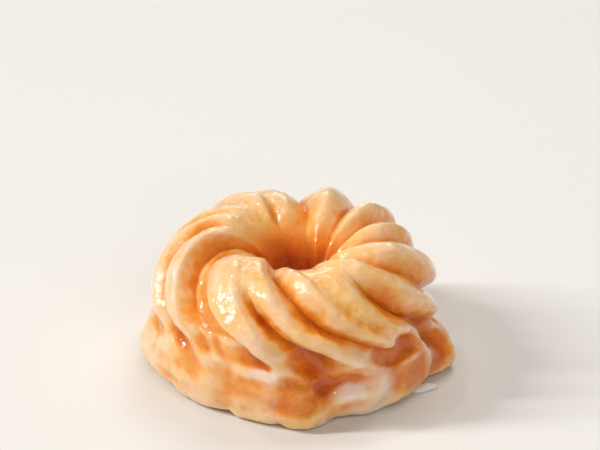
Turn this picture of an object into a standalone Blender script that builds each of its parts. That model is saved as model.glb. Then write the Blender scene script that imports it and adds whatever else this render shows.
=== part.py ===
"""Cruller doughnut: a ring of piped choux paste, its ridges wound round it like the strands of a rope.

Metres, +Z up. The doughnut rests on z = 0 with the hole along Z; the front is the -Y side.
Lengths named below are in millimetres, azimuths in degrees, counted anticlockwise from +X.
"""
from collections import namedtuple

import bpy
import numpy as np

MM = 0.001

# ---- driving sizes ----
OVERALL_WIDTH = 80.0      # along X, over the foot
CREST_RADIUS = 21.5       # hole's axis to the top of the ring
THROAT_RADIUS = 5.0       # narrowest part of the hole
RING_HEIGHT = 34.2        # top of an average ridge above the table
SHOULDER_RADIUS = 36.0    # upper, rope-like part
WAIST_RADIUS = 35.0       # groove between the upper part and the foot
WAIST_HEIGHT = 13.8
FOOT_RADIUS = 38.6        # the foot that spread in the frying oil
FOOT_HEIGHT = 6.5
BASE_OUTER = 34.5         # flat underside, outer and inner edge
BASE_INNER = 11.5
BASE_CORNER = 2.0         # height of the rounded edge above the underside

# the section through the ridges' tops: from the underside's inner edge up the hole, over and down
SECTION = [
    (BASE_INNER, 0.0),
    (8.0, 2.2),
    (5.6, 7.0),
    (THROAT_RADIUS, 14.0),
    (6.2, 21.0),
    (10.0, 28.3),
    (15.5, 32.8),
    (CREST_RADIUS, RING_HEIGHT),
    (27.5, 32.6),
    (32.5, 28.5),
    (35.6, 22.8),
    (SHOULDER_RADIUS, 17.5),
    (WAIST_RADIUS, WAIST_HEIGHT),
    (36.8, 10.6),
    (FOOT_RADIUS, FOOT_HEIGHT),
    (37.8, BASE_CORNER),
    (BASE_OUTER, 0.0),
    (23.0, 0.0),
]

# how the ring is out of true, at azimuths 0, 45, .. 315
RISE = (1.4, 1.2, 2.0, 2.6, 2.2, 0.5, 0.0, 0.2)            # taller by
SHOULDER_OUT = (-0.6, 0.9, 1.6, -0.8, 0.6, -0.8, 0.0, 0.4)  # upper part wider by
FOOT_OUT = (                                               # foot wider by, every 22.5 degrees
    1.6, 0.2, -1.5, -0.6, 0.8, 1.2, 1.2, 1.3,
    0.6, -1.0, -2.7, -3.3, -2.4, -5.2, -2.8, -0.4,
)
FOOT_STRENGTH = (0.42, 0.42, 0.42, 0.42, 0.32, 0.16, 0.06, 0.25)  # ridges on the foot, against the top's
WAIST_UP = (-1.0, 0.0, 0.0, 0.0, 0.0, 4.2, 3.4, 1.5)        # waist higher by

# ---- the ridges ----
# azimuth: of the crest at the top of the ring; foot: the same at the foot
# inner, outer: sweep in degrees per mm of arc towards the hole and outwards; curl: extra at the waist
# height: crest above the section; depth: of the groove behind the ridge; opens: arc at which it starts
# valley_at, valley_foot: place of that groove as a part of the way to the next crest, on top and at the foot
# tuck: extra depth at the waist
# soft, lead: how soft the back and front flank are, 0 round with a sharp groove, 1 a smooth wave
Ridge = namedtuple("Ridge", [
    "azimuth", "foot", "inner", "outer", "curl", "height", "valley_at", "valley_foot", "depth", "opens",
    "tuck", "soft", "lead",
])
RIDGES = [
    Ridge(226, 266, 2.16, 1.55, -8, 1.0, 0.46, 0.42, 3.6, 6, 1.0, 0.80, 0.10),
    Ridge(248, 291, 2.05, 1.36, 10, 0.6, 0.53, 0.50, 3.4, -14, -1.4, 0.65, 0.40),
    Ridge(273, 310, 1.35, 1.31, 8, 0.8, 0.43, 0.53, -0.3, -30, 0.2, 1.00, 0.50),
    Ridge(290, 340, 1.60, 0.91, 14, 0.4, 0.58, 0.40, 3.8, 2, 0.5, 0.60, 1.00),
    Ridge(310, 357, 1.75, 1.16, 14, 1.2, 0.70, 0.60, 3.6, -30, 0.0, 0.60, 0.40),
    Ridge(341, 390, 0.80, 0.92, 16, 0.7, 0.70, 0.60, 3.6, -30, 0.0, 0.50, 0.20),
    Ridge(376, 416, 0.60, 0.76, 7, -0.3, 0.62, 0.55, 3.4, -40, 0.0, 0.50, 0.15),
    Ridge(399, 438, 0.90, 0.34, 6, 1.3, 0.54, 0.50, 3.2, -40, 0.0, 0.55, 0.15),
    Ridge(428, 462, 0.70, 0.46, 6, 1.7, 0.47, 0.50, 3.2, -40, 0.0, 0.55, 0.15),
    Ridge(459, 490, 0.15, 0.76, 4, 0.3, 0.66, 0.55, -0.2, -40, 0.0, 0.80, 0.70),
    Ridge(478, 518, 0.25, 0.90, 4, 0.9, 0.50, 0.50, 0.7, -8, 0.0, 0.80, 1.00),
    Ridge(499, 549, 0.40, 1.18, 4, 0.0, 0.50, 0.50, 1.3, -4, 0.0, 0.70, 0.50),
    Ridge(520, 572, 1.00, 1.55, 0, 0.2, 0.34, 0.45, 2.4, -6, 0.0, 0.50, 0.30),
    Ridge(543, 591, 1.10, 1.66, -8, 0.5, 0.55, 0.60, 4.2, -40, -2.6, 0.80, 0.10),
    Ridge(560, 605, 1.90, 1.33, 0, -3.0, 0.24, 0.72, 2.4, 0, 0.4, 0.60, 0.30),
]
TURNS = 7              # ridges by which a ridge has moved on after one trip round the section
PITCH = 360.0 / len(RIDGES)
THROAT_AZIMUTH = 200.0  # of the first ridge, deep in the hole, where all are evenly spaced
FULL_RELIEF_RADIUS = 20.0        # ridges are as tall as stated at this radius, and in proportion to it
RELIEF_LIMITS = (0.35, 1.15)     # least and most of that proportion
LEVEL_FLAT = 0.15                # what comes out lower than this belongs to the flat underside

# ---- stretches of arc along the section: 0 at the top, negative into the hole, positive outwards ----
THROAT_BLEND = (-28.0, -9.0)     # crests pass from even spacing to their own sweep
THROAT_FADE = (-40.0, -26.0)     # ridges rise out of the smooth bottom of the hole
CURL_SPAN = (14.0, 29.0)         # crests turn by their curl
VALLEY_SPAN = (12.0, 31.0)       # grooves pass to their place at the foot
SHOULDER_SPAN = (2.0, 14.0, 28.0, 34.0)
TUCK_ARC = 27.0                  # under the shoulder, where grooves tuck in
TUCK_LONG = 6.0
FOOT_EASE = (27.0, 34.0)         # ridges weaken to their strength on the foot
ROUND_FLANKS = (-18.0, -6.0, 22.0, 31.0)    # flanks are as stated here, and a smooth wave beyond
FOOT_SPAN = (28.0, 36.0, 46.0, 56.0)
FOOT_BLEND = (30.0, 46.0)        # crests pass to their place on the foot
FOOT_FADE = (40.0, 48.0)         # ridges sink into the underside
SWEEP_START = 44.0               # from here the crests run on evenly across the underside
UNDERSIDE_START = 46.0
GROOVE_OPENING = (-4.0, 8.0)     # a groove deepens over this stretch from the arc where it opens
WAIST_SPAN = (0.5, 14.0, 15.0, 31.0)    # heights, in mm, over which the raised waist is felt

# lumps and hollows that belong to no ridge: place as azimuth and arc, half sizes, height
LUMP_NEAREST = 8.0      # least radius at which a lump's width is measured
Lump = namedtuple("Lump", "azimuth arc wide long height")
LUMPS = [
    Lump(237, -9.5, 6, 6, 2.2),
    Lump(201, -4, 4, 5, -1.2),
    Lump(320, -9, 5, 6, 1.6),
    Lump(10, 17, 4, 5, 1.2),
    Lump(6, 32, 7, 5, -3.4),
    Lump(207, 41, 6, 6, -1.2),
    Lump(191, 35, 7, 7, 0.4),
    Lump(250, 32, 4, 4, 1.2),
    Lump(281, 32.5, 3.5, 4.5, -2.2),
    Lump(291, 28, 6, 3.5, 1.2),
    Lump(291, 33, 5, 2.5, -0.9),
    Lump(276, 42, 5.5, 4, 2.0),
    Lump(239, 42, 3.5, 4, -0.9),
    Lump(268, 33.5, 5, 2.2, -0.9),
    Lump(302, 41, 4, 5, 1.7),
    Lump(262, 41, 4, 4, -0.4),
    Lump(291, 38, 5, 3.5, 1.1),
    Lump(309, 36, 4, 5, 0.8),
    Lump(318, 28.5, 4.5, 3.5, -2.4),
    Lump(319, 25.5, 4, 2.6, -1.8),
    Lump(234, 28.5, 4, 4, 0.8),
    Lump(225, 31, 4, 4, -0.7),
    Lump(326, 36, 3.5, 3, -0.8),
    Lump(303, 44, 2.5, 2.2, 0.8),
    Lump(294, 44.5, 2.5, 2.2, 0.6),
    Lump(257, 44, 2.2, 2.2, 0.7),
    Lump(243, 27.5, 6, 3.5, 1.8),
    Lump(310, 0, 5, 7, 1.2),
    Lump(246, 34, 6, 4, -0.8),
    Lump(340, 40, 2.2, 6, -1.8),
    Lump(336, 33, 4, 4, 0.8),
    Lump(333, 40, 6, 6, -1.4),
    Lump(350.5, 39.5, 4.3, 4.3, 3.9),
]

# ---- mesh fineness ----
COLUMNS_PER_RIDGE = 10
ROW_STEP = 2.9          # mm along the section, everywhere but the underside
UNDERSIDE_ROWS = 3
CURVE_STEPS = 40        # points of the section's curve for each of its corners
SLOPE_REACH = 0.4       # mm either way over which the section's direction is taken


def smooth(x, start, end):
    """0 before start, 1 after end, an S curve between."""
    t = np.clip((x - start) / (end - start), 0.0, 1.0)
    return t * t * (3.0 - 2.0 * t)


def band(x, start, full, ebb, end):
    """0 outside start and end, 1 between full and ebb."""
    return smooth(x, start, full) * (1.0 - smooth(x, ebb, end))


def spline(a, b, c, d, t):
    """Catmull-Rom curve from b to c."""
    return 0.5 * (2 * b + (c - a) * t + (2 * a - 5 * b + 4 * c - d) * t**2 + (3 * b - 3 * c + d - a) * t**3)


def around(azimuth, values):
    """Smooth closed run through values spaced evenly round the ring."""
    v = np.asarray(values, float)
    x = (azimuth % 360.0) / 360.0 * len(v)
    i = np.floor(x).astype(int)
    a, b, c, d = (v[(i + k) % len(v)] for k in (-1, 0, 1, 2))
    return spline(a, b, c, d, x - i)


def section_rows():
    """Rows along the section: radius, height, arc from the top, and the whole length of the section."""
    p = np.asarray(SECTION, float)
    t = np.linspace(0.0, 1.0, CURVE_STEPS, endpoint=False)[:, None]
    curve = np.concatenate([
        spline(p[i - 1], p[i], p[(i + 1) % len(p)], p[(i + 2) % len(p)], t) for i in range(len(p))
    ])
    curve = np.vstack([curve, curve[:1]])
    arc = np.concatenate([[0.0], np.cumsum(np.linalg.norm(np.diff(curve, axis=0), axis=1))])
    top = arc[np.argmax(curve[:, 1])]
    length = arc[-1]
    edge = top + UNDERSIDE_START
    rows = np.linspace(0.0, edge, int(round(edge / ROW_STEP)) + 1)
    under = np.linspace(edge, length, UNDERSIDE_ROWS + 2)[1:-1]
    rows = np.concatenate([rows, under])
    radius = np.interp(rows, arc, curve[:, 0])
    height = np.interp(rows, arc, curve[:, 1])
    ahead = (rows + SLOPE_REACH) % length
    behind = (rows - SLOPE_REACH) % length
    along = np.array([np.interp(ahead, arc, side) - np.interp(behind, arc, side) for side in curve.T])
    along /= np.linalg.norm(along, axis=0)
    return radius, height, (-along[1], along[0]), rows - top, length


def crest_azimuths(arc, length):
    """Azimuth of every ridge's crest at every row."""
    crests = []
    for i, r in enumerate(RIDGES):
        over = r.azimuth + np.where(arc < 0, r.inner, r.outer) * arc + r.curl * smooth(arc, *CURL_SPAN)
        throat = THROAT_AZIMUTH + PITCH * i
        over = over + (throat - over) * (1 - smooth(arc, *THROAT_BLEND))
        under = throat + PITCH * TURNS
        across = np.clip((arc - SWEEP_START) / (arc[0] + length - SWEEP_START), 0, 1)
        sweep = r.foot + (under - r.foot) * across
        crests.append(over + (sweep - over) * smooth(arc, *FOOT_BLEND))
    return np.array(crests)


def flank(t, soft):
    """Height of a flank, 0 in the groove (t = 0) to 1 on the crest (t = 1)."""
    return (1 - soft) * np.sqrt(1 - (1 - t) ** 2) + soft * np.sin(np.pi / 2 * t) ** 2


def ridge_columns(arc, length):
    """Azimuth and height above the section of every column of points."""
    crests = crest_azimuths(arc, length)
    half = COLUMNS_PER_RIDGE // 2
    azimuths = []
    levels = []
    wavy = 1 - band(arc, *ROUND_FLANKS)
    for i, ridge in enumerate(RIDGES):
        last = i + 1 == len(RIDGES)
        following = RIDGES[0] if last else RIDGES[i + 1]
        here = crests[i]
        there = crests[0] + 360.0 if last else crests[i + 1]
        valley = ridge.valley_at + (ridge.valley_foot - ridge.valley_at) * smooth(arc, *VALLEY_SPAN)
        groove = here + (there - here) * valley
        level_with = min(ridge.height, following.height)
        deep = (ridge.depth + level_with) * smooth(arc - ridge.opens, *GROOVE_OPENING) - level_with
        deep = deep + ridge.tuck * np.exp(-(((arc - TUCK_ARC) / TUCK_LONG) ** 2))
        soft = ridge.soft + (1 - ridge.soft) * wavy
        lead = following.lead + (1 - following.lead) * wavy
        for k in range(half):
            f = flank(1 - k / half, soft)
            azimuths.append(here + (groove - here) * k / half)
            levels.append(ridge.height * f - deep * (1 - f))
        for k in range(half):
            f = flank(k / half, lead)
            azimuths.append(groove + (there - groove) * k / half)
            levels.append(following.height * f - deep * (1 - f))
    return np.array(azimuths), np.array(levels)


def surface():
    """All points as an array (columns, rows, 3), centred over the origin and scaled to the overall width."""
    radius, height, (out, up), arc, length = section_rows()
    azimuth, level = ridge_columns(arc, length)
    strength = 1 - (1 - around(azimuth, FOOT_STRENGTH)) * smooth(arc, *FOOT_EASE)
    strength = strength * band(arc, *THROAT_FADE, *FOOT_FADE)
    level = level * strength * np.clip(radius / FULL_RELIEF_RADIUS, *RELIEF_LIMITS)
    for lump in LUMPS:
        across = np.radians((azimuth - lump.azimuth + 180) % 360 - 180) * np.maximum(radius, LUMP_NEAREST)
        along = arc - lump.arc
        level = level + lump.height * np.exp(-((across / lump.wide) ** 2) - (along / lump.long) ** 2)
    shoulder = band(arc, *SHOULDER_SPAN)
    foot = band(arc, *FOOT_SPAN)
    waist = band(height, *WAIST_SPAN) * (arc > 0)
    r = radius + out * level + around(azimuth, SHOULDER_OUT) * shoulder + around(azimuth, FOOT_OUT) * foot
    z = height * (1 + around(azimuth, RISE) / RING_HEIGHT) + around(azimuth, WAIST_UP) * waist + up * level
    z = np.where(z < LEVEL_FLAT, 0.0, z)
    a = np.radians(azimuth)
    points = np.stack([r * np.cos(a), r * np.sin(a), z], -1)
    low = points.reshape(-1, 3).min(0)
    high = points.reshape(-1, 3).max(0)
    middle = (low + high) / 2
    middle[2] = 0.0
    return (points - middle) * (OVERALL_WIDTH / (high[0] - low[0])) * MM


def faces(points):
    """Triangles of the closed skin; the last row joins the first row of the column TURNS ridges on."""
    columns, rows = points.shape[:2]
    shift = TURNS * COLUMNS_PER_RIDGE
    flat = points.reshape(-1, 3)
    triangles = []
    for c in range(columns):
        n = (c + 1) % columns
        for r in range(rows):
            if r + 1 < rows:
                a, b = c * rows + r + 1, n * rows + r + 1
            else:
                a, b = (c + shift) % columns * rows, (n + shift) % columns * rows
            p, q = c * rows + r, n * rows + r
            if np.linalg.norm(flat[p] - flat[b]) < np.linalg.norm(flat[a] - flat[q]):
                triangles += [(p, a, b), (p, b, q)]
            else:
                triangles += [(p, a, q), (a, b, q)]
    return triangles


for old in list(bpy.data.objects):
    bpy.data.objects.remove(old, do_unlink=True)

points = surface()
mesh = bpy.data.meshes.new("cruller")
mesh.from_pydata(points.reshape(-1, 3).tolist(), [], faces(points))
mesh.validate()
mesh.update()
cruller = bpy.data.objects.new("cruller", mesh)
bpy.context.collection.objects.link(cruller)

crust = bpy.data.materials.new("glazed_crust")
crust.use_nodes = True
shader = crust.node_tree.nodes["Principled BSDF"]
shader.inputs["Base Color"].default_value = (0.72, 0.36, 0.10, 1.0)
shader.inputs["Roughness"].default_value = 0.28
shader.inputs["Metallic"].default_value = 0.0
mesh.materials.append(crust)

mesh.shade_smooth()
mesh.set_sharp_from_angle(angle=np.radians(60))
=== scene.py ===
"""Looks of a glazed cruller doughnut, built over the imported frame.

The ring repeats the CAD model's sizes and functions at a much finer step, adds the small relief of fried
choux paste under sugar glaze, and stands for the CAD solid. The shape functions work in millimetres, with
azimuths in degrees counted anticlockwise from +X; Blender's objects are in metres.
"""
from collections import namedtuple

import bpy
import numpy as np
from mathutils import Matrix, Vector, noise


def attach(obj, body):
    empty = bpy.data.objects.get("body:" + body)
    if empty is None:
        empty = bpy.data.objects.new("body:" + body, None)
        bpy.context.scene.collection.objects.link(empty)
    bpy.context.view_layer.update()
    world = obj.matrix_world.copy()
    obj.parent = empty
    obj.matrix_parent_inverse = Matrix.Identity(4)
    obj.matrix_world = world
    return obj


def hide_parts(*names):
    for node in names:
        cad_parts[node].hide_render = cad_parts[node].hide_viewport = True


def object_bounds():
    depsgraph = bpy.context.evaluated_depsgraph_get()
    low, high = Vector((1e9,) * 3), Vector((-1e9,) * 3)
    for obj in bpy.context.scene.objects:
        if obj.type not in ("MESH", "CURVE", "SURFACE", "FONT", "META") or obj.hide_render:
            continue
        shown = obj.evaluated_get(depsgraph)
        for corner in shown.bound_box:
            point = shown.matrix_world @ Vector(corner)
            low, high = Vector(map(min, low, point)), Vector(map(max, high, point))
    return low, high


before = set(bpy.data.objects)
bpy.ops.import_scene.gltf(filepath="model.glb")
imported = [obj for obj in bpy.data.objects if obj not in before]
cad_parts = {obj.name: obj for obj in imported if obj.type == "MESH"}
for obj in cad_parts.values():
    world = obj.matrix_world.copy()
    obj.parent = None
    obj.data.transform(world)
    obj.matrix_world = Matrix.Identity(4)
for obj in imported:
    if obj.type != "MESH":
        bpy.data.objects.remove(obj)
cad_low, cad_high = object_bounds()

MM = 0.001

# ---- driving sizes, as in the CAD model ----
CREST_RADIUS = 21.5       # hole's axis to the top of the ring
THROAT_RADIUS = 5.0       # narrowest part of the hole
RING_HEIGHT = 34.2        # top of an average ridge above the table
SHOULDER_RADIUS = 36.0    # upper, rope-like part
WAIST_RADIUS = 35.0       # groove between the upper part and the foot
WAIST_HEIGHT = 13.8
FOOT_RADIUS = 38.6        # the foot that spread in the frying oil
FOOT_HEIGHT = 6.5
BASE_OUTER = 34.5         # flat underside, outer and inner edge
BASE_INNER = 11.5
BASE_CORNER = 2.0         # height of the rounded edge above the underside

# the section through the ridges' tops: from the underside's inner edge up the hole, over and down
SECTION = [
    (BASE_INNER, 0.0),
    (8.0, 2.2),
    (5.6, 7.0),
    (THROAT_RADIUS, 14.0),
    (6.2, 21.0),
    (10.0, 28.3),
    (15.5, 32.8),
    (CREST_RADIUS, RING_HEIGHT),
    (27.5, 32.6),
    (32.5, 28.5),
    (35.6, 22.8),
    (SHOULDER_RADIUS, 17.5),
    (WAIST_RADIUS, WAIST_HEIGHT),
    (36.8, 10.6),
    (FOOT_RADIUS, FOOT_HEIGHT),
    (37.8, BASE_CORNER),
    (BASE_OUTER, 0.0),
    (23.0, 0.0),
]

# how the ring is out of true, at azimuths 0, 45, .. 315
RISE = (1.4, 1.2, 2.0, 2.6, 2.2, 0.5, 0.0, 0.2)            # taller by
SHOULDER_OUT = (-0.6, 0.9, 1.6, -0.8, 0.6, -0.8, 0.0, 0.4)  # upper part wider by
FOOT_OUT = (                                               # foot wider by, every 22.5 degrees
    1.6, 0.2, -1.5, -0.6, 0.8, 1.2, 1.2, 1.3,
    0.6, -1.0, -2.7, -3.3, -2.4, -5.2, -2.8, -0.4,
)
FOOT_STRENGTH = (0.42, 0.42, 0.42, 0.42, 0.32, 0.16, 0.06, 0.25)    # of ridges there, against the top's
WAIST_UP = (-1.0, 0.0, 0.0, 0.0, 0.0, 4.2, 3.4, 1.5)        # waist higher by

# ---- the ridges ----
# azimuth: of the crest at the top of the ring; foot: the same at the foot
# inner, outer: sweep in degrees per mm of arc towards the hole and outwards; curl: extra at the waist
# height: crest above the section; depth: of the groove behind the ridge; opens: arc at which it starts
# valley_at, valley_foot: place of that groove as a part of the way to the next crest, on top and at
# the foot
# tuck: extra depth at the waist
# soft, lead: how soft the back and front flank are, 0 round with a sharp groove, 1 a smooth wave
Ridge = namedtuple("Ridge", [
    "azimuth", "foot", "inner", "outer", "curl", "height", "valley_at", "valley_foot", "depth", "opens",
    "tuck", "soft", "lead",
])
RIDGES = [
    Ridge(226, 266, 2.16, 1.55, -8, 1.0, 0.46, 0.42, 3.6, 6, 1.0, 0.80, 0.10),
    Ridge(248, 291, 2.05, 1.36, 10, 0.6, 0.53, 0.50, 3.4, -14, -1.4, 0.65, 0.40),
    Ridge(273, 310, 1.35, 1.31, 8, 0.8, 0.43, 0.53, -0.3, -30, 0.2, 1.00, 0.50),
    Ridge(290, 340, 1.60, 0.91, 14, 0.4, 0.58, 0.40, 3.8, 2, 0.5, 0.60, 1.00),
    Ridge(310, 357, 1.75, 1.16, 14, 1.2, 0.70, 0.60, 3.6, -30, 0.0, 0.60, 0.40),
    Ridge(341, 390, 0.80, 0.92, 16, 0.7, 0.70, 0.60, 3.6, -30, 0.0, 0.50, 0.20),
    Ridge(376, 416, 0.60, 0.76, 7, -0.3, 0.62, 0.55, 3.4, -40, 0.0, 0.50, 0.15),
    Ridge(399, 438, 0.90, 0.34, 6, 1.3, 0.54, 0.50, 3.2, -40, 0.0, 0.55, 0.15),
    Ridge(428, 462, 0.70, 0.46, 6, 1.7, 0.47, 0.50, 3.2, -40, 0.0, 0.55, 0.15),
    Ridge(459, 490, 0.15, 0.76, 4, 0.3, 0.66, 0.55, -0.2, -40, 0.0, 0.80, 0.70),
    Ridge(478, 518, 0.25, 0.90, 4, 0.9, 0.50, 0.50, 0.7, -8, 0.0, 0.80, 1.00),
    Ridge(499, 549, 0.40, 1.18, 4, 0.0, 0.50, 0.50, 1.3, -4, 0.0, 0.70, 0.50),
    Ridge(520, 572, 1.00, 1.55, 0, 0.2, 0.34, 0.45, 2.4, -6, 0.0, 0.50, 0.30),
    Ridge(543, 591, 1.10, 1.66, -8, 0.5, 0.55, 0.60, 4.2, -40, -2.6, 0.80, 0.10),
    Ridge(560, 605, 1.90, 1.33, 0, -3.0, 0.24, 0.72, 2.4, 0, 0.4, 0.60, 0.30),
]
TURNS = 7              # ridges by which a ridge has moved on after one trip round the section
PITCH = 360.0 / len(RIDGES)
THROAT_AZIMUTH = 200.0  # of the first ridge, deep in the hole, where all are evenly spaced
FULL_RELIEF_RADIUS = 20.0        # ridges are as tall as stated at this radius, and in proportion to it
RELIEF_LIMITS = (0.35, 1.15)     # least and most of that proportion
LEVEL_FLAT = 0.15                # what comes out lower than this belongs to the flat underside
SUNK_DEPTH = (-1.5, 4.5)         # below the section: over this depth a groove comes to count as sunk

# ---- stretches of arc along the section: 0 at the top, negative into the hole, positive outwards ----
THROAT_BLEND = (-28.0, -9.0)     # crests pass from even spacing to their own sweep
THROAT_FADE = (-40.0, -26.0)     # ridges rise out of the smooth bottom of the hole
CURL_SPAN = (14.0, 29.0)         # crests turn by their curl
VALLEY_SPAN = (12.0, 31.0)       # grooves pass to their place at the foot
SHOULDER_SPAN = (2.0, 14.0, 28.0, 34.0)     # the upper part is widened here
TUCK_ARC = 27.0                  # under the shoulder, where grooves tuck in
TUCK_LONG = 6.0
FOOT_EASE = (27.0, 34.0)         # ridges weaken to their strength on the foot
ROUND_FLANKS = (-18.0, -6.0, 22.0, 31.0)    # flanks are as stated here, and a smooth wave beyond
FOOT_SPAN = (28.0, 36.0, 46.0, 56.0)        # the foot is widened here
FOOT_BLEND = (30.0, 46.0)        # crests pass to their place on the foot
FOOT_FADE = (40.0, 48.0)         # ridges sink into the underside
SWEEP_START = 44.0               # from here the crests run on evenly across the underside
UNDERSIDE_START = 46.0
GROOVE_OPENING = (-4.0, 8.0)     # a groove deepens over this stretch from the arc where it opens
WAIST_SPAN = (0.5, 14.0, 15.0, 31.0)    # heights, in mm, over which the raised waist is felt

# lumps and hollows that belong to no ridge: place as azimuth and arc, half sizes, height
LUMP_NEAREST = 8.0      # least radius at which a lump's width is measured
Lump = namedtuple("Lump", "azimuth arc wide long height")
LUMPS = [
    Lump(237, -9.5, 6, 6, 2.2),
    Lump(111, -7, 1.3, 5, -1.3),
    Lump(201, -4, 4, 5, -1.2),
    Lump(320, -9, 5, 6, 1.6),
    Lump(10, 17, 4, 5, 1.2),
    Lump(6, 32, 7, 5, -3.4),
    Lump(207, 41, 6, 6, -1.2),
    Lump(191, 35, 7, 7, 0.4),
    Lump(250, 32, 4, 4, 1.2),
    Lump(281, 32.5, 3.5, 4.5, -2.2),
    Lump(291, 28, 6, 3.5, 1.2),
    Lump(291, 33, 5, 2.5, -0.9),
    Lump(276, 42, 5.5, 4, 2.0),
    Lump(239, 42, 3.5, 4, -0.9),
    Lump(268, 33.5, 5, 2.2, -0.9),
    Lump(302, 41, 4, 5, 1.7),
    Lump(262, 41, 4, 4, -0.4),
    Lump(291, 38, 5, 3.5, 1.1),
    Lump(309, 36, 4, 5, 0.8),
    Lump(318, 28.5, 4.5, 3.5, -2.4),
    Lump(319, 25.5, 4, 2.6, -1.8),
    Lump(234, 28.5, 4, 4, 0.8),
    Lump(225, 31, 4, 4, -0.7),
    Lump(259, 31.5, 3, 1.8, 0.6),
    Lump(322, 32, 4, 1.6, 0.9),
    Lump(326, 36, 3.5, 3, -0.8),
    Lump(303, 44, 2.5, 2.2, 0.8),
    Lump(294, 44.5, 2.5, 2.2, 0.6),
    Lump(257, 44, 2.2, 2.2, 0.7),
    Lump(243, 27.5, 6, 3.5, 1.8),
    Lump(310, 0, 5, 7, 1.2),
    Lump(246, 34, 6, 4, -0.8),
    Lump(340, 40, 2.2, 6, -1.8),
    Lump(336, 33, 4, 4, 0.8),
    Lump(333, 40, 6, 6, -1.4),
    Lump(350.5, 39.5, 4.3, 4.3, 3.9),
]

# ---- small unevenness, in mm ----
# spans are stretches of arc; layers of noise are height, size of the bumps and seed
RELIEF_SPAN = (-30.0, -12.0, 46.0, 50.0)
RIPPLES = [(0.24, 8.0, 1), (0.11, 3.2, 2), (0.06, 1.5, 3)]
PIPING_START = (-8.0, 6.0)      # fine grooves that the piping tube leaves along the ridges
PIPING_HEIGHT = 0.07
PIPING_SEED = 4
LANES_PER_RIDGE = 7.0
LANE_LENGTH = 11.0
FOLD_SPAN = (26.0, 33.0, 46.0, 50.0)    # wrinkles of the waist and the foot
FOLDS = [(0.42, (9.0, 9.0, 4.0), 5), (0.13, 2.6, 6)]
RIPPLE_GAIN = 1.6       # brings the noise to about -1 to 1
SEED_STEP = 17.3        # distance between the noise of one seed and the next

# ---- colour of the crust, as a depth from 0, pale, to 1, darkest; most of the darkening is painted shade ----
# painted shade: how much darker the crust is on the right side and the front, away from the key light, and
# a little paler on the lit left, at azimuths 0, 45, .. 315
SIDE_SHADE = (0.34, 0.06, 0.06, 0.02, -0.02, 0.0, 0.16, 0.44)
SIDE_SHADE_FROM = (6.0, 20.0)     # stretch of arc over which that comes in
# share of the painted shade in the grooves above the skirt, likewise
GROOVE_SHADE = (0.15, 0.3, 0.5, 0.8, 0.65, 0.7, 1.0, 0.5)
SKIRT_START = (27.0, 36.0)      # the skirt is what lies below this stretch of arc
BROAD_ROUNDS = 160              # smoothing against which wide and narrow hollows are measured
CLOSE_ROUNDS = 16
LEAST_TONE = 0.15
# painted shade in grooves and hollows
SUNK_SHADE = 0.70                # added in grooves, by wide hollows and by narrow ones, these two per mm
BROAD_SHADE = 0.60
CLOSE_SHADE = 1.8
CLOSE_SHADE_OFF = 1.0            # less by this on the skirt
# painted shade on the skirt, under the shoulder
SKIRT_SHADE = 0.23
TONE_LIMIT = 0.75
# painted shade deep in the hole: the crust darkens towards the hole's bottom
THROAT_SHADE = 0.94
THROAT_SHADE_FADE = (-21.0, -5.0)

# ---- white film of glaze, partly painted sheen on the crests and lit places: thinner by hollows, grooves, the painted side shade and the painted shade spots ----
FILM_START = (-16.0, -2.0)
FILM = 0.12
SKIRT_FILM = 0.16
FILM_PATCHES = (0.24, 8.0, 7)   # a layer of noise
CLOSE_FILM = 2.2
CLOSE_FILM_OFF = 1.6            # less by this on the skirt
BROAD_FILM = 0.7
SUNK_FILM = 0.4
SIDE_SHADE_FILM = 0.5
FILM_LIMITS = (-0.3, 1.0)

# places where the glaze is thick and white, some of them painted sheen and highlight: azimuth and arc, half
# sizes, strength
GLAZE_AND_SHEEN_POOLS = [
    Lump(259, 31.5, 3.2, 2.0, 1.3),
    Lump(293, 36, 4.5, 3.0, 1.1),
    Lump(307, 31, 4, 3.5, 0.45),
    Lump(309, 37, 3.5, 5, 0.8),
    Lump(196, 14, 8, 10, 0.35),
    Lump(128, 4, 10, 6, 0.45),
    Lump(60, 3, 9, 5, 0.35),
    Lump(286, 43, 6, 2.5, 0.6),
    Lump(302, 43, 4, 2.5, 0.9),
    Lump(322, 32, 5, 1.3, 0.45),
    Lump(334, 33, 2.5, 5, 0.6),
    Lump(8, 4, 4, 7, 0.55),
    Lump(338, 5, 4, 5, 0.30),
]

# painted shade in pockets, crevices and shaded low sides, as darker crust, likewise
SHADE_SPOTS = [
    Lump(318, 28.5, 4.5, 2.6, 0.65),
    Lump(326, 35, 3.4, 3.2, 0.70),
    Lump(271.5, 18, 2.5, 4, 0.25),
    Lump(317, 11, 3.5, 6, 0.30),
    Lump(347, 36, 6, 7, 0.50),
    Lump(34, 14, 4, 5, 0.28),
    Lump(280, 31, 4.5, 2.8, 0.60),
    Lump(266, 35, 3, 4, 0.15),
    Lump(272, 39.5, 4.5, 4.5, 0.80),
]

# ---- dribble of set glaze on the table, in mm and degrees ----
DRIP_AZIMUTH = 334.0
DRIP_RADIUS = 35.6
DRIP_SIZE = (3.6, 2.1, 1.3)      # half length, half width, height
DRIP_TURN = 12.0
DRIP_WAVES = [(0.10, 2, 0.6), (0.07, 3, 2.0)]    # of its edge: height, number and phase
DRIP_SIDES = 48
DRIP_RINGS = 14

# ---- mesh fineness ----
COLUMNS_PER_RIDGE = 36
FINE_ROWS = (-22.0, 46.0, 0.5)      # from, to and step, in mm of arc
THROAT_ROW_STEP = 0.9
UNDERSIDE_ROW_STEP = 2.2
CURVE_STEPS = 40        # points of the section's curve for each of its corners
SLOPE_REACH = 0.4       # mm either way over which the section's direction is taken
FILLET_ROUNDS = 8       # smoothing that fills the grooves as glaze does

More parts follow.
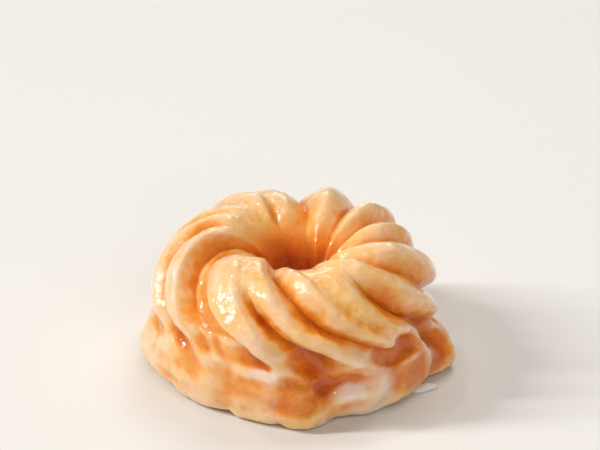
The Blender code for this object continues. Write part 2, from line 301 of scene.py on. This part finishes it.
# ---- materials: sizes of noise in mm, colours and how strongly they mix ----
CLOUD_SIZE = 9.0
MOTTLE_SIZE = 1.6
TINT_SIZE = 5.0
TINT_WARP = 0.6
CLOUD_TONE = 0.55
MOTTLE_TONE = 0.22
TONE_OFF = 0.385        # brings the tone back after the noise is added
# the darker colours of the crust mostly show painted shade
CRUST = [
    (0.0, (0.95, 0.60, 0.25)),
    (0.22, (0.91, 0.435, 0.092)),
    (0.50, (0.86, 0.275, 0.008)),
    (0.76, (0.66, 0.12, 0.004)),
    (1.0, (0.38, 0.032, 0.003)),
]
PEACH = (0.86, 0.48, 0.27, 1.0)
PEACH_SHARE = 0.32
PEACH_CONTRAST = (2.2, -0.85)
PEACH_BY_TONE = (-1.3, 1.0)     # peach patches fade as the tone deepens
THIN_FILM = (0.94, 0.635, 0.475, 1.0)
# the whitest film, at the pools, partly stands for a painted highlight
THICK_FILM = (0.99, 0.84, 0.74, 1.0)
FILM_MOTTLE = 0.5
FILM_OFF = 0.25
FILM_MOST = 0.85
GLOSS = (0.25, 0.25)            # roughness: added by the mottle, and least
PIT_SIZE = 0.8
SWELL_SIZE = 2.2
SWELL_SHARE = 2.9       # height of the swell against the pits
BUMP_STRENGTH = 0.8
BUMP_HEIGHT = 0.17      # mm
SET_GLAZE = ((0.84, 0.80, 0.76, 1.0), (0.92, 0.90, 0.87, 1.0))
SET_GLAZE_SIZE = 1.2

# ---- floor, in m ----
FLOOR_HALF = 3.0
FLOOR_DROP = 0.0002     # below the underside

# ---- light: direction it comes from, distance in m, width and height in m, watts ----
Light = namedtuple("Light", "name direction distance size power colour mirrored")
LIGHTS = [
    Light("key", (-0.82, -0.02, 0.57), 2.25, (0.16, 1.08), 37.5, (1.0, 0.985, 0.96), True),
    Light("spark", (-0.30, 0.20, 0.93), 0.80, (0.06, 0.06), 0.45, (1.0, 1.0, 1.0), True),
    Light("front", (-0.25, -0.59, 0.77), 0.80, (0.06, 0.09), 0.35, (1.0, 1.0, 1.0), True),
    Light("rim", (-0.05, 0.95, 0.42), 1.1, (0.55, 0.14), 1.3, (1.0, 0.97, 0.94), True),
    Light("top", (0.25, 0.35, 0.90), 0.80, (0.45, 0.45), 2.3, (1.0, 0.97, 0.92), False),
    Light("fill", (0.26, -0.78, 0.58), 0.9, (0.6, 0.6), 2.5, (1.0, 0.95, 0.88), False),
]
WORLD_COLOUR = (1.0, 0.93, 0.85, 1.0)
WORLD_STRENGTH = 0.12

# ---- camera ----
VIEW_ELEVATION = 28.5
VIEW_DISTANCE = 560.0   # mm before the ring is fitted to the CAD model's box
TARGET_HEIGHT = 16.0
SENSOR_WIDTH = 36.0
LENS = 132.05
AIM_LIFT = 2.03         # degrees by which the view points above the target
AIM_TURN = -0.148       # degrees by which it turns left of it


def smooth(x, start, end):
    """0 before start, 1 after end, an S curve between."""
    t = np.clip((x - start) / (end - start), 0.0, 1.0)
    return t * t * (3.0 - 2.0 * t)


def band(x, start, full, ebb, end):
    """0 outside start and end, 1 between full and ebb."""
    return smooth(x, start, full) * (1.0 - smooth(x, ebb, end))


def spline(a, b, c, d, t):
    """Catmull-Rom curve from b to c."""
    return 0.5 * (2 * b + (c - a) * t + (2 * a - 5 * b + 4 * c - d) * t**2 + (3 * b - 3 * c + d - a) * t**3)


def around(azimuth, values):
    """Smooth closed run through values spaced evenly round the ring."""
    v = np.asarray(values, float)
    x = (azimuth % 360.0) / 360.0 * len(v)
    i = np.floor(x).astype(int)
    a, b, c, d = (v[(i + k) % len(v)] for k in (-1, 0, 1, 2))
    return spline(a, b, c, d, x - i)


def section_rows():
    """Rows of the section: radius, height, outward direction and arc from the top; and its length."""
    p = np.asarray(SECTION, float)
    t = np.linspace(0.0, 1.0, CURVE_STEPS, endpoint=False)[:, None]
    curve = np.concatenate([
        spline(p[i - 1], p[i], p[(i + 1) % len(p)], p[(i + 2) % len(p)], t) for i in range(len(p))
    ])
    curve = np.vstack([curve, curve[:1]])
    arc = np.concatenate([[0.0], np.cumsum(np.linalg.norm(np.diff(curve, axis=0), axis=1))])
    top = arc[np.argmax(curve[:, 1])]
    length = arc[-1]
    start, end, step = FINE_ROWS
    rows = np.concatenate([
        np.arange(0.0, top + start - THROAT_ROW_STEP / 2, THROAT_ROW_STEP),
        np.arange(top + start, top + end, step),
        np.arange(top + end, length - UNDERSIDE_ROW_STEP / 2, UNDERSIDE_ROW_STEP),
    ])
    radius = np.interp(rows, arc, curve[:, 0])
    height = np.interp(rows, arc, curve[:, 1])
    ahead = (rows + SLOPE_REACH) % length
    behind = (rows - SLOPE_REACH) % length
    along = np.array([np.interp(ahead, arc, side) - np.interp(behind, arc, side) for side in curve.T])
    along /= np.linalg.norm(along, axis=0)
    return radius, height, (-along[1], along[0]), rows - top, length


def crest_azimuths(arc, length):
    """Azimuth of every ridge's crest at every row."""
    crests = []
    for i, r in enumerate(RIDGES):
        over = r.azimuth + np.where(arc < 0, r.inner, r.outer) * arc + r.curl * smooth(arc, *CURL_SPAN)
        throat = THROAT_AZIMUTH + PITCH * i
        over = over + (throat - over) * (1 - smooth(arc, *THROAT_BLEND))
        under = throat + PITCH * TURNS
        across = np.clip((arc - SWEEP_START) / (arc[0] + length - SWEEP_START), 0, 1)
        sweep = r.foot + (under - r.foot) * across
        crests.append(over + (sweep - over) * smooth(arc, *FOOT_BLEND))
    return np.array(crests)


def flank(t, soft):
    """Height of a flank, 0 in the groove (t = 0) to 1 on the crest (t = 1)."""
    return (1 - soft) * np.sqrt(1 - (1 - t) ** 2) + soft * np.sin(np.pi / 2 * t) ** 2


def closing(t):
    """t from 0 to 1, with even steps drawn closer together towards 1."""
    return 0.5 * t + 0.5 * np.sin(np.pi / 2 * t)


def ridge_columns(arc, length):
    """For every column of points: azimuth, height above the section, and place across its ridge, 0 to 1."""
    crests = crest_azimuths(arc, length)
    half = COLUMNS_PER_RIDGE // 2
    even = np.linspace(0.0, 1.0, half, endpoint=False)
    down = closing(even)    # from the crest to the groove
    rise = 1 - closing(1 - even)
    azimuths = []
    levels = []
    places = []
    wavy = 1 - band(arc, *ROUND_FLANKS)
    for i, ridge in enumerate(RIDGES):
        last = i + 1 == len(RIDGES)
        following = RIDGES[0] if last else RIDGES[i + 1]
        here = crests[i]
        there = crests[0] + 360.0 if last else crests[i + 1]
        valley = ridge.valley_at + (ridge.valley_foot - ridge.valley_at) * smooth(arc, *VALLEY_SPAN)
        groove = here + (there - here) * valley
        level_with = min(ridge.height, following.height)
        deep = (ridge.depth + level_with) * smooth(arc - ridge.opens, *GROOVE_OPENING) - level_with
        deep = deep + ridge.tuck * np.exp(-(((arc - TUCK_ARC) / TUCK_LONG) ** 2))
        soft = ridge.soft + (1 - ridge.soft) * wavy
        lead = following.lead + (1 - following.lead) * wavy
        for t in down:
            f = flank(1 - t, soft)
            azimuths.append(here + (groove - here) * t)
            levels.append(ridge.height * f - deep * (1 - f))
            places.append(i + t * ridge.valley_at)
        for t in rise:
            f = flank(t, lead)
            azimuths.append(groove + (there - groove) * t)
            levels.append(following.height * f - deep * (1 - f))
            places.append(i + ridge.valley_at + t * (1 - ridge.valley_at))
    return np.array(azimuths), np.array(levels), np.array(places)


# ---- the grid of points: columns round the ring, rows along the section; both close on themselves ----
COLUMN_SHIFT = TURNS * COLUMNS_PER_RIDGE


def next_row(grid):
    """Each point's neighbour one row on; the last row joins the first row of the column TURNS ridges on."""
    return np.concatenate([grid[:, 1:], np.roll(grid[:, :1], -COLUMN_SHIFT, axis=0)], axis=1)


def last_row(grid):
    """Each point's neighbour one row back."""
    return np.concatenate([np.roll(grid[:, -1:], COLUMN_SHIFT, axis=0), grid[:, :-1]], axis=1)


def relaxed(grid, rounds):
    """The grid with every point moved towards its neighbours, that many times."""
    for _ in range(rounds):
        near = np.roll(grid, 1, axis=0) + np.roll(grid, -1, axis=0) + next_row(grid) + last_row(grid)
        grid = 0.5 * grid + 0.125 * near
    return grid


def normals(points):
    """Outward direction at every point."""
    along = next_row(points) - last_row(points)
    round_it = np.roll(points, -1, axis=0) - np.roll(points, 1, axis=0)
    out = np.cross(along, round_it)
    return out / np.linalg.norm(out, axis=-1, keepdims=True)


def dent(azimuth, arc, radius, places):
    """Sum of lumps over the grid."""
    total = np.zeros(azimuth.shape)
    for lump in places:
        across = np.radians((azimuth - lump.azimuth + 180) % 360 - 180) * np.maximum(radius, LUMP_NEAREST)
        along = arc - lump.arc
        total += lump.height * np.exp(-((across / lump.wide) ** 2) - (along / lump.long) ** 2)
    return total


def ripple(points, size, seed):
    """Smooth noise of about -1 to 1, with bumps of that size in mm, or with a size for each axis."""
    shape = points.shape[:-1]
    flat = points.reshape(-1, 3) / size + seed * SEED_STEP
    values = [noise.noise(Vector(p)) for p in flat.tolist()]
    return np.array(values).reshape(shape) * RIPPLE_GAIN


def ripples(points, layers):
    """Sum of layers of noise, each with its height, size and seed."""
    return sum(height * ripple(points, size, seed) for height, size, seed in layers)


def ring_shape():
    """The ring's points in mm; their azimuth, arc, place across the ridge and depth in the groove."""
    radius, height, (out, up), arc, length = section_rows()
    azimuth, level, place = ridge_columns(arc, length)
    strength = 1 - (1 - around(azimuth, FOOT_STRENGTH)) * smooth(arc, *FOOT_EASE)
    strength = strength * band(arc, *THROAT_FADE, *FOOT_FADE)
    level = level * strength * np.clip(radius / FULL_RELIEF_RADIUS, *RELIEF_LIMITS)
    level = level + dent(azimuth, arc, radius, LUMPS)
    sunk = smooth(-level, *SUNK_DEPTH)
    shoulder = band(arc, *SHOULDER_SPAN)
    foot = band(arc, *FOOT_SPAN)
    waist = band(height, *WAIST_SPAN) * (arc > 0)
    r = radius + out * level + around(azimuth, SHOULDER_OUT) * shoulder + around(azimuth, FOOT_OUT) * foot
    z = height * (1 + around(azimuth, RISE) / RING_HEIGHT) + around(azimuth, WAIST_UP) * waist + up * level
    z = np.where(z < LEVEL_FLAT, 0.0, z)
    a = np.radians(azimuth)
    points = np.stack([r * np.cos(a), r * np.sin(a), z], -1)
    points = relaxed(points, FILLET_ROUNDS)
    return points, azimuth, np.broadcast_to(arc, azimuth.shape), place, sunk


def relief(points, arc, place):
    """Height in mm of the small unevenness at every point."""
    upper = band(arc, *RELIEF_SPAN)
    skirt = band(arc, *FOLD_SPAN)
    lumps = ripples(points, RIPPLES)
    across = np.broadcast_to(place[:, None] * LANES_PER_RIDGE, arc.shape)
    lanes = np.stack([across, arc / LANE_LENGTH, np.zeros(arc.shape)], -1)
    piping = PIPING_HEIGHT * ripple(lanes, 1.0, PIPING_SEED)
    lumps = lumps + piping * (1 - skirt) * smooth(arc, *PIPING_START)
    return upper * lumps + skirt * ripples(points, FOLDS)


def fitted(points):
    """Points in metres, centred and scaled to the CAD model's box; the hole's axis and the scale."""
    low = points.reshape(-1, 3).min(0)
    high = points.reshape(-1, 3).max(0)
    scale = float((cad_high.x - cad_low.x) / (high[0] - low[0]))
    middle = (low + high) / 2
    middle[2] = low[2]
    centre = np.array([(cad_low.x + cad_high.x) / 2, (cad_low.y + cad_high.y) / 2, cad_low.z])
    return (points - middle) * scale + centre, centre - middle * scale, scale


def grid_faces(columns, rows):
    """Faces of the closed skin, as corner numbers."""
    here = np.arange(columns * rows).reshape(columns, rows)
    right = np.roll(here, -1, axis=0)
    above = next_row(here)
    corner = np.roll(above, -1, axis=0)
    return np.stack([here, above, corner, right], -1).reshape(-1, 4).tolist()


def mesh_object(name, points, faces, material):
    """A smooth-shaded object in the scene, from points in metres."""
    mesh = bpy.data.meshes.new(name)
    mesh.from_pydata(points.reshape(-1, 3).tolist(), [], faces)
    mesh.materials.append(material)
    mesh.shade_smooth()
    made = bpy.data.objects.new(name, mesh)
    bpy.context.scene.collection.objects.link(made)
    return made


def add_attribute(piece, name, values):
    """One number for each of the piece's points, for its material to read."""
    attribute = piece.data.attributes.new(name, "FLOAT", "POINT")
    attribute.data.foreach_set("value", values.astype(np.float32).ravel())


# ---- materials ----
def add_node(tree, kind, settings=(), inputs=()):
    """A node with those settings; an input is a number, a colour or another node's output."""
    made = tree.nodes.new(kind)
    for key, value in dict(settings).items():
        setattr(made, key, value)
    for key, value in dict(inputs).items():
        if hasattr(value, "is_output"):
            tree.links.new(value, made.inputs[key])
        else:
            made.inputs[key].default_value = value
    return made


def add_noise(tree, place, size, detail=2.0, distortion=0.0):
    """Noise of 0 to 1 with bumps of that size in mm."""
    settings = {"noise_dimensions": "3D"}
    inputs = {"Vector": place, "Scale": 1.0 / (size * MM), "Detail": detail, "Distortion": distortion}
    return add_node(tree, "ShaderNodeTexNoise", settings, inputs).outputs["Fac"]


def add_maths(tree, operation, a, b, c=0.0, clamp=False):
    settings = {"operation": operation, "use_clamp": clamp}
    return add_node(tree, "ShaderNodeMath", settings, {0: a, 1: b, 2: c}).outputs[0]


def add_mix(tree, factor, a, b):
    inputs = {0: factor, 6: a, 7: b}
    return add_node(tree, "ShaderNodeMix", {"data_type": "RGBA"}, inputs).outputs[2]


def add_ramp(tree, factor, stops):
    """Colour by factor, running smoothly through the stops."""
    made = add_node(tree, "ShaderNodeValToRGB", inputs={0: factor})
    ramp = made.color_ramp
    ramp.interpolation = "B_SPLINE"
    while len(ramp.elements) < len(stops):
        ramp.elements.new(0.5)
    for element, (position, colour) in zip(ramp.elements, stops):
        element.position = position
        element.color = (*colour, 1.0)
    return made.outputs[0]


def crust_material():
    """Fried crust under thin glaze: pale on the crests, deep orange in the grooves, where the depth
    attribute carries painted shade.
    """
    material = bpy.data.materials.new("glazed_crust")
    material.use_nodes = True
    tree = material.node_tree
    shader = tree.nodes["Principled BSDF"]
    place = add_node(tree, "ShaderNodeTexCoord").outputs["Object"]
    depth = add_node(tree, "ShaderNodeAttribute", {"attribute_name": "depth"}).outputs["Fac"]
    glaze = add_node(tree, "ShaderNodeAttribute", {"attribute_name": "glaze"}).outputs["Fac"]
    cloud = add_noise(tree, place, CLOUD_SIZE, detail=3.0)
    mottle = add_noise(tree, place, MOTTLE_SIZE, detail=3.0)
    tint = add_noise(tree, place, TINT_SIZE, distortion=TINT_WARP)

    tone = add_maths(tree, "MULTIPLY_ADD", cloud, CLOUD_TONE, depth)
    tone = add_maths(tree, "MULTIPLY_ADD", mottle, MOTTLE_TONE, tone)
    tone = add_maths(tree, "SUBTRACT", tone, TONE_OFF, clamp=True)
    crust = add_ramp(tree, tone, CRUST)
    peach = add_maths(tree, "MULTIPLY_ADD", tint, *PEACH_CONTRAST, clamp=True)
    pale = add_maths(tree, "MULTIPLY_ADD", tone, *PEACH_BY_TONE, clamp=True)
    peach = add_maths(tree, "MULTIPLY", peach, pale)
    peach = add_maths(tree, "MULTIPLY", peach, PEACH_SHARE)
    crust = add_mix(tree, peach, crust, PEACH)
    film = add_maths(tree, "MULTIPLY_ADD", mottle, FILM_MOTTLE, glaze)
    film = add_maths(tree, "SUBTRACT", film, FILM_OFF, clamp=True)
    film = add_maths(tree, "MULTIPLY", film, FILM_MOST)
    milky = add_mix(tree, film, THIN_FILM, THICK_FILM)
    colour = add_mix(tree, film, crust, milky)
    tree.links.new(colour, shader.inputs["Base Color"])

    rough = add_maths(tree, "MULTIPLY_ADD", mottle, *GLOSS)
    tree.links.new(rough, shader.inputs["Roughness"])
    shader.inputs["IOR"].default_value = 1.34
    shader.inputs["Subsurface Weight"].default_value = 0.5
    shader.inputs["Subsurface Radius"].default_value = (1.0, 0.42, 0.16)
    shader.inputs["Subsurface Scale"].default_value = 3.0 * MM
    shader.inputs["Coat Weight"].default_value = 1.0
    shader.inputs["Coat Roughness"].default_value = 0.05
    shader.inputs["Coat IOR"].default_value = 1.45

    pits = add_noise(tree, place, PIT_SIZE)
    swell = add_noise(tree, place, SWELL_SIZE)
    height = add_maths(tree, "MULTIPLY_ADD", swell, SWELL_SHARE, pits)
    inputs = {"Strength": BUMP_STRENGTH, "Distance": BUMP_HEIGHT * MM, "Height": height}
    bump = add_node(tree, "ShaderNodeBump", inputs=inputs)
    tree.links.new(bump.outputs[0], shader.inputs["Normal"])
    tree.links.new(bump.outputs[0], shader.inputs["Coat Normal"])
    return material


def floor_material():
    material = bpy.data.materials.new("floor")
    material.use_nodes = True
    shader = material.node_tree.nodes["Principled BSDF"]
    shader.inputs["Base Color"].default_value = (0.80, 0.79, 0.77, 1.0)
    shader.inputs["Roughness"].default_value = 0.95
    shader.inputs["Specular IOR Level"].default_value = 0.1
    return material


# ---- pieces ----
def colouring(points, azimuth, arc, sunk):
    """For every point: how deep in colour the crust is, mostly painted shade in grooves, hollows, the hole,
    the skirt and the side away from the light; and how thick the white film on it, partly painted sheen.
    """
    out = normals(points)
    broad = ((relaxed(points, BROAD_ROUNDS) - points) * out).sum(-1)
    close = ((relaxed(points, CLOSE_ROUNDS) - points) * out).sum(-1)
    skirt = smooth(arc, *SKIRT_START)
    side_shade = around(azimuth, SIDE_SHADE)
    reach = np.linalg.norm(points[..., :2], axis=-1)
    # painted shade in pockets and crevices
    shade_spots = dent(azimuth, arc, reach, SHADE_SPOTS)

    # painted shade: grooves and hollows darker, less so on the right
    grooves = around(azimuth, GROOVE_SHADE)
    grooves = grooves + (1 - grooves) * skirt
    hollows = SUNK_SHADE * sunk + BROAD_SHADE * broad + (CLOSE_SHADE - CLOSE_SHADE_OFF * skirt) * close
    depth = LEAST_TONE + grooves * hollows + SKIRT_SHADE * skirt + shade_spots
    # painted shade: the side away from the key light is darker
    depth = depth + side_shade * smooth(arc, *SIDE_SHADE_FROM)
    depth = TONE_LIMIT * np.tanh(depth / TONE_LIMIT)
    # painted shade in the hole
    throat = THROAT_SHADE - THROAT_SHADE * smooth(arc, *THROAT_SHADE_FADE)
    depth = np.clip(np.maximum(depth, throat), 0, 1)

    # white film of glaze, thicker on crests and at the pools as painted sheen and highlight
    white = FILM + SKIRT_FILM * skirt + dent(azimuth, arc, reach, GLAZE_AND_SHEEN_POOLS) + ripples(points, [FILM_PATCHES])
    white = white - (CLOSE_FILM - CLOSE_FILM_OFF * skirt) * close - BROAD_FILM * np.maximum(broad, 0)
    white = white - SUNK_FILM * sunk - SIDE_SHADE_FILM * side_shade - shade_spots
    white = white * smooth(arc, *FILM_START)
    return depth, np.clip(white, *FILM_LIMITS) * (arc < UNDERSIDE_START)


def build_ring():
    """The ring, in the CAD solid's place; gives the hole's axis and the scale to which it was fitted."""
    points, azimuth, arc, place, sunk = ring_shape()
    points = points + normals(points) * relief(points, arc, place)[..., None]
    points[..., 2] = np.where(arc > UNDERSIDE_START, np.minimum(points[..., 2], 0.0), points[..., 2])
    points[..., 2] = np.maximum(points[..., 2], 0.0)
    depth, glaze = colouring(points, azimuth, arc, sunk)
    metres, axis, scale = fitted(points)
    ring = mesh_object("cruller_ring", metres, grid_faces(*points.shape[:2]), crust_material())
    add_attribute(ring, "depth", depth)
    add_attribute(ring, "glaze", glaze)
    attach(ring, "root")
    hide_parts("cruller")
    return axis, scale


def glaze_material():
    """Set sugar glaze, milky and a little grey."""
    material = bpy.data.materials.new("set_glaze")
    material.use_nodes = True
    tree = material.node_tree
    shader = tree.nodes["Principled BSDF"]
    place = add_node(tree, "ShaderNodeTexCoord").outputs["Object"]
    cloud = add_noise(tree, place, SET_GLAZE_SIZE, detail=3.0)
    colour = add_mix(tree, cloud, *SET_GLAZE)
    tree.links.new(colour, shader.inputs["Base Color"])
    shader.inputs["Roughness"].default_value = 0.35
    shader.inputs["Subsurface Weight"].default_value = 0.4
    shader.inputs["Subsurface Radius"].default_value = (1.0, 0.8, 0.6)
    shader.inputs["Subsurface Scale"].default_value = 1.0 * MM
    shader.inputs["Coat Weight"].default_value = 0.8
    shader.inputs["Coat Roughness"].default_value = 0.08
    return material


def build_drip(axis, scale):
    """The dribble of glaze that ran off the foot and set beside it."""
    around_it = np.radians(np.arange(DRIP_SIDES) * 360.0 / DRIP_SIDES)
    edge = 1
    for swing, waves, phase in DRIP_WAVES:
        edge = edge + swing * np.sin(waves * around_it + phase)
    share = np.linspace(1.0, 0.0, DRIP_RINGS, endpoint=False)
    long, wide, tall = DRIP_SIZE
    x = long * np.outer(share, edge * np.cos(around_it))
    y = wide * np.outer(share, edge * np.sin(around_it))
    z = np.repeat((tall * np.sqrt(1 - share**2))[:, None], DRIP_SIDES, axis=1)
    dome = np.stack([x, y, z], -1).reshape(-1, 3)
    points = np.vstack([dome, [[0, 0, tall], [0, 0, 0]]])
    turn = np.radians(DRIP_TURN)
    spin = np.array([[np.cos(turn), np.sin(turn), 0], [-np.sin(turn), np.cos(turn), 0], [0, 0, 1]])
    bearing = np.radians(DRIP_AZIMUTH)
    foot = DRIP_RADIUS * np.array([np.cos(bearing), np.sin(bearing), 0])
    metres = (points @ spin + foot) * scale + axis
    faces = []
    top = len(dome)
    for k in range(DRIP_SIDES):
        following = (k + 1) % DRIP_SIDES
        for ring in range(DRIP_RINGS - 1):
            here = ring * DRIP_SIDES
            inner = here + DRIP_SIDES
            faces.append((here + k, here + following, inner + following, inner + k))
        last = (DRIP_RINGS - 1) * DRIP_SIDES
        faces.append((last + k, last + following, top))
        faces.append((following, k, top + 1))
    drip = mesh_object("glaze_drip", metres, faces, glaze_material())
    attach(drip, "root")


def build_floor():
    level = cad_low.z - FLOOR_DROP
    corners = [(-1, -1), (1, -1), (1, 1), (-1, 1)]
    corners = np.array([(x * FLOOR_HALF, y * FLOOR_HALF, level) for x, y in corners], float)
    floor = mesh_object("floor", corners, [(0, 1, 2, 3)], floor_material())


def add_light(light):
    """An area light that faces the object, seen in the gloss or not."""
    data = bpy.data.lights.new(light.name, "AREA")
    data.shape = "RECTANGLE"
    data.size, data.size_y = light.size
    data.energy = light.power
    data.color = light.colour
    lamp = bpy.data.objects.new(light.name, data)
    toward = Vector(light.direction).normalized()
    lamp.location = toward * light.distance + Vector((0, 0, TARGET_HEIGHT * MM))
    lamp.rotation_euler = toward.to_track_quat("Z", "Y").to_euler()
    lamp.visible_glossy = light.mirrored
    bpy.context.scene.collection.objects.link(lamp)


def build_light():
    for light in LIGHTS:
        add_light(light)
    world = bpy.data.worlds.new("studio")
    world.use_nodes = True
    background = world.node_tree.nodes["Background"]
    background.inputs["Color"].default_value = WORLD_COLOUR
    background.inputs["Strength"].default_value = WORLD_STRENGTH
    bpy.context.scene.world = world
    bpy.context.scene.view_settings.view_transform = "Standard"


def build_camera(axis, scale):
    """The camera, aimed at the hole's axis but for a small lift and turn."""
    data = bpy.data.cameras.new("camera")
    data.sensor_width = SENSOR_WIDTH
    data.lens = LENS
    camera = bpy.data.objects.new("camera", data)
    rise = np.radians(VIEW_ELEVATION)
    target = Vector((axis[0], axis[1], TARGET_HEIGHT * scale))
    camera.location = target + VIEW_DISTANCE * scale * Vector((0.0, -np.cos(rise), np.sin(rise)))
    camera.rotation_euler = (np.radians(90 - VIEW_ELEVATION + AIM_LIFT), 0.0, np.radians(AIM_TURN))
    bpy.context.scene.collection.objects.link(camera)
    bpy.context.scene.camera = camera


hole_axis, fit_scale = build_ring()
build_drip(hole_axis, fit_scale)
build_floor()
build_light()
build_camera(hole_axis, fit_scale)
